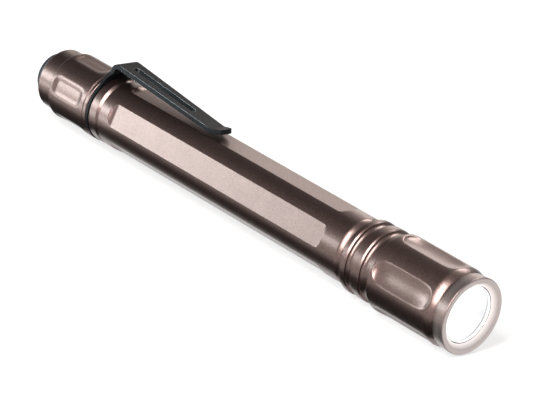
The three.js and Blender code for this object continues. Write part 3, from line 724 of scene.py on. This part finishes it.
def reflectorBowl():
    # a parabola x ~ r^2 from throat to mouth, with its back offset by the wall
    k = SimpleNamespace(**bowlLook)
    start, end = span("reflector")
    r = np.linspace(k.throat, k.mouth, k.steps)
    x = start + (end - start) * (r ** 2 - k.throat ** 2) / (k.mouth ** 2 - k.throat ** 2)
    behind = x < end - k.rim
    shell = np.stack([x[behind], r[behind] + k.wall], axis=1)
    outer = k.mouth + k.wall
    rim = np.array([[end - k.rim, outer], [end, outer]])
    bowl = np.stack([x, r], axis=1)[::-1]
    line = np.concatenate([shell, rim, bowl])
    finishPiece(turned("reflectorBowl", line, "ring"), "reflector")


frontBezel()
lensDisc()
reflectorBowl()


# Seal rings: round cord about the axis, with its thickness in mm
sealCords = {"tail_seal": 0.7, "head_seal": 0.7, "button_seal": 0.6, "lens_gasket": 0.45}


def sealRing(node, cord):
    low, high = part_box(node)
    outer = 0.5 * (high.y - low.y) * metre
    t = evenAngles(pointsRound["cord"])
    x = middleOf(node)[0] - cord / 2 * np.cos(t)
    line = np.stack([x, outer - cord / 2 + cord / 2 * np.sin(t)], axis=1)
    finishPiece(turned(plainName(node), line, "ring"), node)


for node, cord in sealCords.items():
    sealRing(node, cord)
print("head optics and seals done")


# Pocket clip: one stamping, as a middle sheet that gets its thickness and rounded edges afterwards
clipLook = {
    "sheet": 0.7, "armSheet": 1.05, "lean": 0.75, "leanFrom": 7.9, "ringRadius": 7.7, "ringBore": 6.65,
    "width": 5.7, "foot": 4.2, "tip": 3.6, "bend": 1.75, "slopeDeg": 5.44, "arm": 29.85, "footBend": 2.75,
    "tipLiftDeg": 14.0, "tipLength": 2.8, "tipCorner": 1.0, "footHeight": 8.12, "slotStart": 2.0,
    "slotLength": 20.6, "slotWidth": 1.5, "edge": 0.14, "edgeDeg": 50, "flexFrom": -1.2, "flexTo": 2.4,
    "columns": 14, "layers": 7,
}


def pocketClip():
    k = SimpleNamespace(**clipLook)
    slope, lift = math.radians(k.slopeDeg), math.radians(k.tipLiftDeg)
    plateX = span("clip_ring")[0] + k.sheet / 2
    # middle line in (x, z about the axis): bend, arm, foot bend, tip
    footZ = k.footHeight + k.footBend
    armEndZ = footZ - k.footBend * math.cos(slope)
    armStartZ = armEndZ + k.arm * math.sin(slope)
    bendX, bendZ = plateX + k.lean + k.bend, armStartZ - k.bend * math.cos(slope)
    armStartX = bendX + k.bend * math.sin(slope)
    armEndX = armStartX + k.arm * math.cos(slope)
    footX = armEndX + k.footBend * math.sin(slope)
    turn = np.linspace(math.pi, math.pi / 2 - slope, 13)
    bendLine = np.array([bendX, bendZ]) + k.bend * onCircle(turn)
    # arm stations: even, with cosine spacing round the slot's ends
    r = k.slotWidth / 2
    s0, s1 = k.slotStart, k.slotStart + k.slotLength
    roundShare = 0.5 - 0.5 * np.cos(np.linspace(0, np.pi / 2, 9))
    stations = np.unique(np.round(np.concatenate([
        np.linspace(0, s0, 5), s0 + 2 * r * roundShare, np.linspace(s0 + r, s1 - r, 25),
        s1 - 2 * r * roundShare, np.linspace(s1, k.arm, 13),
    ]), 6))[1:]
    direction = np.array([math.cos(slope), -math.sin(slope)])
    armLine = np.array([armStartX, armStartZ]) + stations[:, None] * direction
    footTurn = np.linspace(-math.pi / 2 - slope, -math.pi / 2 + lift, 9)[1:]
    footLine = np.array([footX, footZ]) + k.footBend * onCircle(footTurn)
    tipShare = np.linspace(0, 1, 9)[1:]
    tipLine = footLine[-1] + tipShare[:, None] * k.tipLength * np.array([math.cos(lift), math.sin(lift)])
    middle = np.concatenate([bendLine, armLine, footLine, tipLine])
    along = lengthAlong(middle)
    s = along - along[len(bendLine) - 1]
    # half width: even over the bend, tapering down the arm, with a rounded tip
    half = np.interp(s, [0, k.arm, s[-1]], [k.width / 2, k.foot / 2, k.tip / 2])
    toEnd = np.clip(s[-1] - s, 0, k.tipCorner)
    half = half - k.tipCorner * (1 - np.sqrt(np.clip(1 - (1 - toEnd / k.tipCorner) ** 2, 0, 1)))
    # slot half width: a round-ended hole down the middle
    inSlot = np.clip(np.minimum(s - s0, s1 - s), 0, r)
    hole = np.sqrt(np.clip(r ** 2 - (r - inSlot) ** 2, 0, None))
    rows, columns, seam = len(middle), k.columns, k.columns // 2
    right = hole[:, None] + (half - hole)[:, None] * np.linspace(0, 1, seam)
    y = np.concatenate([-right[:, ::-1], right], axis=1)
    strip = np.stack([np.repeat(middle[:, :1], columns, 1), y, np.repeat(middle[:, 1:], columns, 1)], axis=-1)
    index = np.arange(rows * columns).reshape(rows, columns)
    quads = np.stack([index[:-1, :-1], index[1:, :-1], index[1:, 1:], index[:-1, 1:]], axis=-1)
    quads = np.delete(quads, seam - 1, axis=1).reshape(-1, 4)  # the middle pair is the slot or a seam
    # ring and riser: a polar sheet from the bore to the outline, whose sides leave the ring's tangents
    top = bendZ
    corner = math.atan2(k.width / 2, top)
    reach = math.hypot(k.width / 2, top)
    tangent = math.acos(k.ringRadius / reach) + corner
    riserAngles = np.delete(np.arctan2(strip[0, :, 1], top), seam)
    sideAngles = np.linspace(corner, tangent, 9)[1:]
    ringAngles = np.linspace(tangent, 2 * np.pi - tangent, 121)[1:]
    a = np.concatenate([riserAngles, sideAngles, ringAngles, 2 * np.pi - sideAngles[::-1][1:]])
    b = np.abs((a + np.pi) % (2 * np.pi) - np.pi)
    side = k.ringRadius / np.cos(np.clip(tangent - b, 0, None))
    outer = np.where(b <= corner + 1e-9, top / np.cos(b), side)
    layer = np.linspace(0, 1, k.layers)[:, None]
    radius = k.ringBore + (outer - k.ringBore) * layer
    ringZ = radius * np.cos(a)
    lean = k.lean * smoothStep((ringZ - k.leanFrom) / (top - k.leanFrom))
    ring = np.stack([plateX + lean, radius * np.sin(a), ringZ], axis=-1)
    ringQuads = rows * columns + gridFaces(k.layers, len(a), False)
    points = np.concatenate([strip.reshape(-1, 3), ring.reshape(-1, 3)]) + np.array([0, 0, axisHeight])
    piece = addMesh("pocketClip", points, np.concatenate([quads, ringQuads]).tolist())
    weldSheet(piece)
    # the ring is coined thinner than the arm: a weight per point scales the thickness
    points = readArray(piece.data.vertices, "co") * metre
    ease = smoothStep((points[:, 2] - axisHeight - k.leanFrom) / (top - k.leanFrom))
    ease = np.where(points[:, 0] > bendX, 1, ease)
    group = piece.vertex_groups.new(name="thickness")
    for weight in np.unique(np.round(ease, 3)):
        group.add(np.flatnonzero(np.round(ease, 3) == weight).tolist(), float(weight), "REPLACE")
    solid = piece.modifiers.new("thickness", "SOLIDIFY")
    solid.thickness, solid.offset, solid.use_even_offset = k.armSheet / metre, 0.0, True
    solid.vertex_group, solid.thickness_vertex_group = group.name, k.sheet / k.armSheet
    bevel = piece.modifiers.new("edges", "BEVEL")
    bevel.width, bevel.segments, bevel.angle_limit = k.edge / metre, 3, math.radians(k.edgeDeg)
    applyModifiers(piece)
    x = readArray(piece.data.vertices, "co")[:, 0] * metre
    # painted highlight along the arm's edges only, faded out towards the bend and the foot
    markEdges(piece.data, smoothStep(x - armStartX) * smoothStep(armEndX - x))
    z = (axisHeight + armStartZ) / metre
    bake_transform(piece, "clip_base", "clip_spring",
             start=((armStartX + k.flexFrom) / metre, 0, z), end=((armStartX + k.flexTo) / metre, 0, z))
    finishPiece(piece, "clip_ring", "clip_arm")


def readArray(items, key, width=3, kind=float):
    # a value of every point, face or corner of a mesh
    flat = np.empty(width * len(items), kind)
    items.foreach_get(key, flat)
    return flat.reshape(-1, width) if width > 1 else flat


def weldSheet(piece):
    # joins points that meet, so that the strip's two halves and the ring become one sheet
    near = 0.01 / metre
    mesh = bmesh.new()
    mesh.from_mesh(piece.data)
    bmesh.ops.remove_doubles(mesh, verts=mesh.verts, dist=near)
    bmesh.ops.recalc_face_normals(mesh, faces=mesh.faces)
    mesh.to_mesh(piece.data)
    mesh.free()


def applyModifiers(piece):
    graph = bpy.context.evaluated_depsgraph_get()
    graph.update()
    finished = bpy.data.meshes.new_from_object(piece.evaluated_get(graph))
    piece.modifiers.clear()
    piece.data = finished
    piece.data.name = piece.name
    shadeSoftly(piece.data)


def markEdges(mesh, share):
    # painted edge highlight: its share where every face turns sharply about a point, by the greatest
    # cosine of any face's normal to the point's
    flat, run = 0.99, 0.02
    corner = readArray(mesh.loops, "vertex_index", 1, int)
    total = readArray(mesh.polygons, "loop_total", 1, int)
    cornerNormal = np.repeat(readArray(mesh.polygons, "normal"), total, axis=0)
    cosine = np.sum(readArray(mesh.vertices, "normal")[corner] * cornerNormal, axis=1)
    greatest = np.zeros(len(mesh.vertices))
    np.maximum.at(greatest, corner, cosine)
    wear = mesh.attributes.new("wear", "FLOAT", "POINT")
    wear.data.foreach_set("value", share * np.clip((flat - greatest) / run, 0, 1))


pocketClip()


# Inner turned pieces: each corner is (end it is measured from, mm from there, radius, roundness)
def disc(radius, edge):
    return (0, 0, 0, 0), (0, 0, radius, edge), (1, 0, radius, edge), (1, 0, 0, 0)


cellOutline = (
    (0, 0.08, 0, 0), (0, 0.08, 4.3, 0.03), (0, 0, 4.45, 0.1), (0, 0, 5.25, 0.45), (1, -1.0, 5.25, 0.45),
    (1, -1.0, 4.45, 0.1), (1, -1.08, 4.3, 0.03), (1, -1.08, 1.9, 0.15), (1, 0, 1.9, 0.35), (1, 0, 0, 0),
)
innerPieces = {
    "rear_cell": cellOutline,
    "front_cell": cellOutline,
    "switch_plunger": ((0, 0, 0, 0), (0, 0, 2.0, 0.2), (1, -0.8, 2.0, 0.15), (1, -0.8, 3.2, 0.15),
                       (1, 0, 3.2, 0.15), (1, 0, 0, 0)),
    "moving_contact": disc(4.2, 0.12),
    "switch_housing": ((0, 0, 5.95, 0.25), (1, 0, 5.95, 0.2), (1, 0, 4.95, 0.2), (0, 1.0, 4.95, 0.3),
                       (0, 1.0, 2.15, 0.1), (0, 0, 2.15, 0.2)),
    "contact_pin_left": disc(0.6, 0.12),
    "contact_pin_right": disc(0.6, 0.12),
    "switch_board": disc(5.95, 0.08),
    "switch_retainer": ((0, 0, 5.95, 0.15), (1, 0, 5.95, 0.15), (1, 0, 4.2, 0.2), (0, 0, 4.2, 0.2)),
    "driver_board": disc(5.85, 0.08),
    "emitter_board": disc(5.6, 0.08),
    "lead_plus": disc(0.45, 0.1),
    "lead_minus": disc(0.45, 0.1),
}


def turnedBetween(name, ends, outline, aside=0.0):
    line = openLine([(ends[end] + away, radius, roundness) for end, away, radius, roundness in outline])
    return turned(name, line, "small", aside=aside)


for node, outline in innerPieces.items():
    piece = turnedBetween(plainName(node), span(node), outline, middleOf(node)[1])
    finishPiece(piece, node)


# Heat-sink pill: a cup for the driver, with a hole for each lead
pillLook = {"recess": 2.5, "bore": 6.0, "radius": 7.1, "hole": 0.55}


def heatSinkPill():
    k = SimpleNamespace(**pillLook)
    ends = span("heat_sink_pill")
    pill = turnedBetween("heatSinkPill", ends, (
        (0, k.recess, 0, 0), (0, k.recess, k.bore, 0.25), (0, 0, k.bore, 0.15),
        (0, 0, k.radius, 0.2), (1, 0, k.radius, 0.2), (1, 0, 0, 0)))
    through = ends[0], ends[1] + 1.0
    leads = "lead_plus", "lead_minus"
    drills = [turnedBetween("drill", through, disc(k.hole, 0), middleOf(lead)[1]) for lead in leads]
    for drill in drills:
        cut = pill.modifiers.new("hole", "BOOLEAN")
        cut.object, cut.operation, cut.solver = drill, "DIFFERENCE", "EXACT"
    applyModifiers(pill)
    for drill in drills:
        bpy.data.objects.remove(drill)
    finishPiece(pill, "heat_sink_pill")


heatSinkPill()


# Emitter: a square ceramic base with softened corners under a round silicone dome
emitterLook = {"half": 1.7, "base": 0.6, "dome": 1.5, "corner": 12.0, "steps": 16}


def ledEmitter():
    k = SimpleNamespace(**emitterLook)
    start = span("led_emitter")[0]
    t = np.linspace(0, np.pi / 2, k.steps)
    base = start + k.base
    dome = [(base + k.dome * math.sin(turn), k.dome * math.cos(turn), 0) for turn in t[:-1]]
    line = openLine([(start, 0, 0), (start, k.half, 0.06), (base, k.half, 0.06), *dome,
                     (base + k.dome, 0, 0)])

    def carve(x, r, a):
        # base rows follow a rounded square: r times (|cos|^n + |sin|^n)^(-1/n)
        square = (np.abs(np.cos(a)) ** k.corner + np.abs(np.sin(a)) ** k.corner) ** (-1 / k.corner)
        return x, np.where(r > k.dome + 0.1, r * square, r)

    finishPiece(turned("ledEmitter", line, "small", carve), "led_emitter")


ledEmitter()


# Springs: round wire wound right-handed on a cone, closing up a little towards both ends
springLooks = (
    {"node": "switch_spring", "wire": 0.36, "radii": (1.7, 2.55), "turns": 2.5, "closing": 0.45},
    {"node": "tail_spring", "wire": 0.8, "radii": (3.4, 2.7), "turns": 4.0, "closing": 0.4},
    {"node": "front_spring", "wire": 0.7, "radii": (2.2, 3.2), "turns": 2.5, "closing": 0.15},
)


def coilSpring(look):
    # centre line (x, R sin a, R cos a) with a = 2 pi turns t and x = t - closing sin(2 pi t) / 2 pi,
    # and round it a ring of the wire's radius that shrinks to a soft point at each end
    k = SimpleNamespace(**look)
    low, high = span(k.node)
    wire = k.wire / 2
    perTurn, sides = 60, 16  # stations in a turn and points round the wire
    softEnd = 0.002 * np.arange(1, 6)  # more stations where the wire ends
    t = np.sort(np.concatenate([np.linspace(0, 1, int(perTurn * k.turns) + 1), softEnd, 1 - softEnd]))
    share = t - k.closing * np.sin(2 * np.pi * t) / (2 * np.pi)
    a = 2 * np.pi * k.turns * t
    around = np.stack([0 * a, np.sin(a), np.cos(a)], axis=-1)
    centre = np.interp(t, [0, 1], k.radii)[:, None] * around
    centre[:, 0] = low + wire + (high - low - 2 * wire) * share
    ahead = np.gradient(centre, axis=0)
    ahead /= np.linalg.norm(ahead, axis=1)[:, None]
    side = np.cross(around, ahead)
    run = lengthAlong(centre)
    toEnd = np.clip(np.minimum(run, run[-1] - run) / wire, 0.02, 1)
    thick = wire * np.sqrt(1 - (1 - toEnd) ** 2)
    q = evenAngles(sides)[:, None]
    ring = around[:, None] * np.cos(q) + side[:, None] * np.sin(q)
    points = (centre[:, None] + thick[:, None, None] * ring).reshape(-1, 3) + np.array([0, 0, axisHeight])
    faces = gridFaces(len(t), sides, False).tolist()
    faces += [list(range(sides)), list(range(len(points) - sides, len(points)))[::-1]]
    piece = addMesh(plainName(k.node), points, faces)
    if k.node == "switch_spring":
        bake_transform(piece, "tail_end", "button", start=((high - wire) / metre, 0, axisHeight / metre),
                 end=((low + wire) / metre, 0, axisHeight / metre))
    finishPiece(piece, k.node)


for look in springLooks:
    coilSpring(look)
print("inner pieces done:", len(innerPieces) + 2, "and", len(springLooks), "springs")


# Floor, light and camera; places and sizes of the stage are in metres
stageLook = {"floor": "#e8e7e5", "floorGlow": 0.65, "floorSize": 12.0, "offFloor": 0.0003, "worldFill": 0.48,
             "card": "#0f0e0e", "cardGlow": "#fff0e8"}
cardCorners = ((-1, -1, 0), (1, -1, 0), (1, 1, 0), (-1, 1, 0))  # the corners of a card
lightMiddle = (0, 0, axisHeight / metre)


def placed(right, up, back, place):
    # a frame from its three axes and its place
    matrix = np.eye(4)
    matrix[:3, 0], matrix[:3, 1], matrix[:3, 2], matrix[:3, 3] = right, up, back, place
    return Matrix(matrix.tolist())


def facing(place, aim):
    # a frame at place whose -Z looks at aim, with Y as near to up as it can be
    back = np.array(place, float) - np.array(aim, float)
    back /= np.linalg.norm(back)
    right = np.cross([0, 0, 1], back)
    right /= np.linalg.norm(right)
    return placed(right, np.cross(back, right), back, place)


def upwards(x, y):
    # a place just off the floor and an aim all but straight above it
    return (x, y, stageLook["offFloor"]), (x, y - 0.0001, 1.0)


def cardMesh(name, width, height, matrix):
    mesh = bpy.data.meshes.new(name)
    corners = np.array(cardCorners) * (width / 2, height / 2, 0)
    spun = np.array(matrix)
    mesh.from_pydata((corners @ spun[:3, :3].T + spun[:3, 3]).tolist(), [], [(0, 1, 2, 3)])
    return mesh


def paleFloor():
    # matt white card, which the camera and mirrors see partly burnt out
    mesh = cardMesh("floor", stageLook["floorSize"], stageLook["floorSize"], np.eye(4))
    material, tree, shader = newMaterial("paleFloor", {
        "Base Color": stageLook["floor"], "Roughness": 0.8, "Specular IOR Level": 0.1,
    })
    path = addNode(tree, "LightPath").outputs
    seen = combine(tree, "MAXIMUM", path["Is Camera Ray"], path["Is Glossy Ray"])
    seen = combine(tree, "MAXIMUM", seen, path["Is Transmission Ray"])
    share = addNode(tree, "Math", {"operation": "MULTIPLY", 1: stageLook["floorGlow"]}, {0: seen})
    white = addNode(tree, "Emission", {"Strength": 1.0})
    mix = addNode(tree, "MixShader", None,
                  {0: share.outputs[0], 1: shader.outputs[0], 2: white.outputs[0]})
    tree.links.new(mix.outputs[0], tree.nodes["Material Output"].inputs["Surface"])
    mesh.materials.append(material)
    addObject("floor", mesh)


def softPanel(name, place, aim, width, height, radiance, colour):
    # area lamp: power = radiance x pi x area
    lamp = bpy.data.lights.new(name, "AREA")
    lamp.color = linearColour(colour)[:3]
    lamp.shape = "RECTANGLE"
    lamp.size, lamp.size_y = width, height
    lamp.energy = radiance * math.pi * width * height
    panel = addObject(name, lamp)
    panel.matrix_world = facing(place, aim)
    panel.visible_camera = False


def darkCard(name, place, aim, width, height, grey=0.0):
    mesh = cardMesh(name, width, height, facing(place, aim))
    mesh.materials.append(newMaterial("blackFlag", {
        "Base Color": stageLook["card"], "Roughness": 0.9, "Emission Strength": grey,
        "Emission Color": stageLook["cardGlow"],
    })[0])
    card = addObject(name, mesh)
    card.visible_camera = False
    return card


# each panel: name, place, aim, width, height, radiance and colour
panels = (
    ("keyPanel", (-0.525, -0.445, 0.10), lightMiddle, 0.34, 0.2, 11.5, "#ebfcff"),
    ("backPanel", (-0.48, 0.53, 0.20), lightMiddle, 0.36, 0.26, 1.65, "#fff0e6"),
    ("rimPanel", (-0.28, 0.62, 0.74), lightMiddle, 0.4, 0.3, 12.5, "#faf7f4"),
    ("topPanel", (0.14, -0.61, 0.49), lightMiddle, 0.3, 0.8, 24.0, "#ffffff"),
    ("bouncePanel", *upwards(-0.075, -0.034), 0.05, 0.022, 5.5, "#ebfcff"),
    ("tailPanel", (-0.145, -0.105, 0.024), (-0.060, 0.0, 0.016), 0.05, 0.044, 1.5, "#ffffff"),
)
# each flag: name, place, aim, width, height and, for one that isn't black, its grey
flags = (
    ("upperFlag", (-0.40, -0.08, 0.46), lightMiddle, 0.56, 0.33),
    ("tailFlag", (-0.070, 0.034, 0.034), (-0.038, 0.0, 0.016), 0.04, 0.04, 0.75),
)
# flags that lie on the floor and show only in the light's reflections of it
floorFlags = (
    ("tubeFlag", *upwards(-0.009, -0.0112), 0.082, 0.0094),
    ("headFlag", *upwards(0.0535, -0.0125), 0.043, 0.012),
    ("rearFlag", *upwards(-0.0725, -0.008), 0.045, 0.009),
)
paleFloor()
for panel in panels:
    softPanel(*panel)
for flag in flags:
    darkCard(*flag)
for flag in floorFlags:
    card = darkCard(*flag)
    card.visible_diffuse = card.visible_shadow = card.visible_transmission = False

world = bpy.data.worlds.new("studio")
world.use_nodes = True
sky = world.node_tree.nodes["Background"].inputs
sky["Strength"].default_value = stageLook["worldFill"]
sky["Color"].default_value = (1, 1, 1, 1)
scene.world = world

cameraLook = {"place": (0.4726, -0.4873, 0.2759), "azimuthDeg": 43.74, "elevationDeg": 21.66,
              "rollDeg": 10.78, "lensMm": 229.73, "sensorMm": 36.0, "farthest": 50}


def photoCamera():
    # looks back along its azimuth (from -Y towards +X) and elevation, then rolls about its own view
    k = SimpleNamespace(**cameraLook)
    az, el, roll = (math.radians(turn) for turn in (k.azimuthDeg, k.elevationDeg, k.rollDeg))
    level = np.array([math.cos(az), math.sin(az), 0])
    rise = np.array([-math.sin(az) * math.sin(el), math.cos(az) * math.sin(el), math.cos(el)])
    back = np.array([math.sin(az) * math.cos(el), -math.cos(az) * math.cos(el), math.sin(el)])
    right = math.cos(roll) * level + math.sin(roll) * rise
    up = math.cos(roll) * rise - math.sin(roll) * level
    data = bpy.data.cameras.new("photoCamera")
    data.lens, data.sensor_width, data.sensor_fit = k.lensMm, k.sensorMm, "HORIZONTAL"
    data.clip_end = k.farthest
    camera = addObject("photoCamera", data)
    camera.matrix_world = placed(right, up, back, k.place)
    scene.camera = camera


photoCamera()
scene.view_settings.view_transform = "Standard"
print("stage, light and camera set")
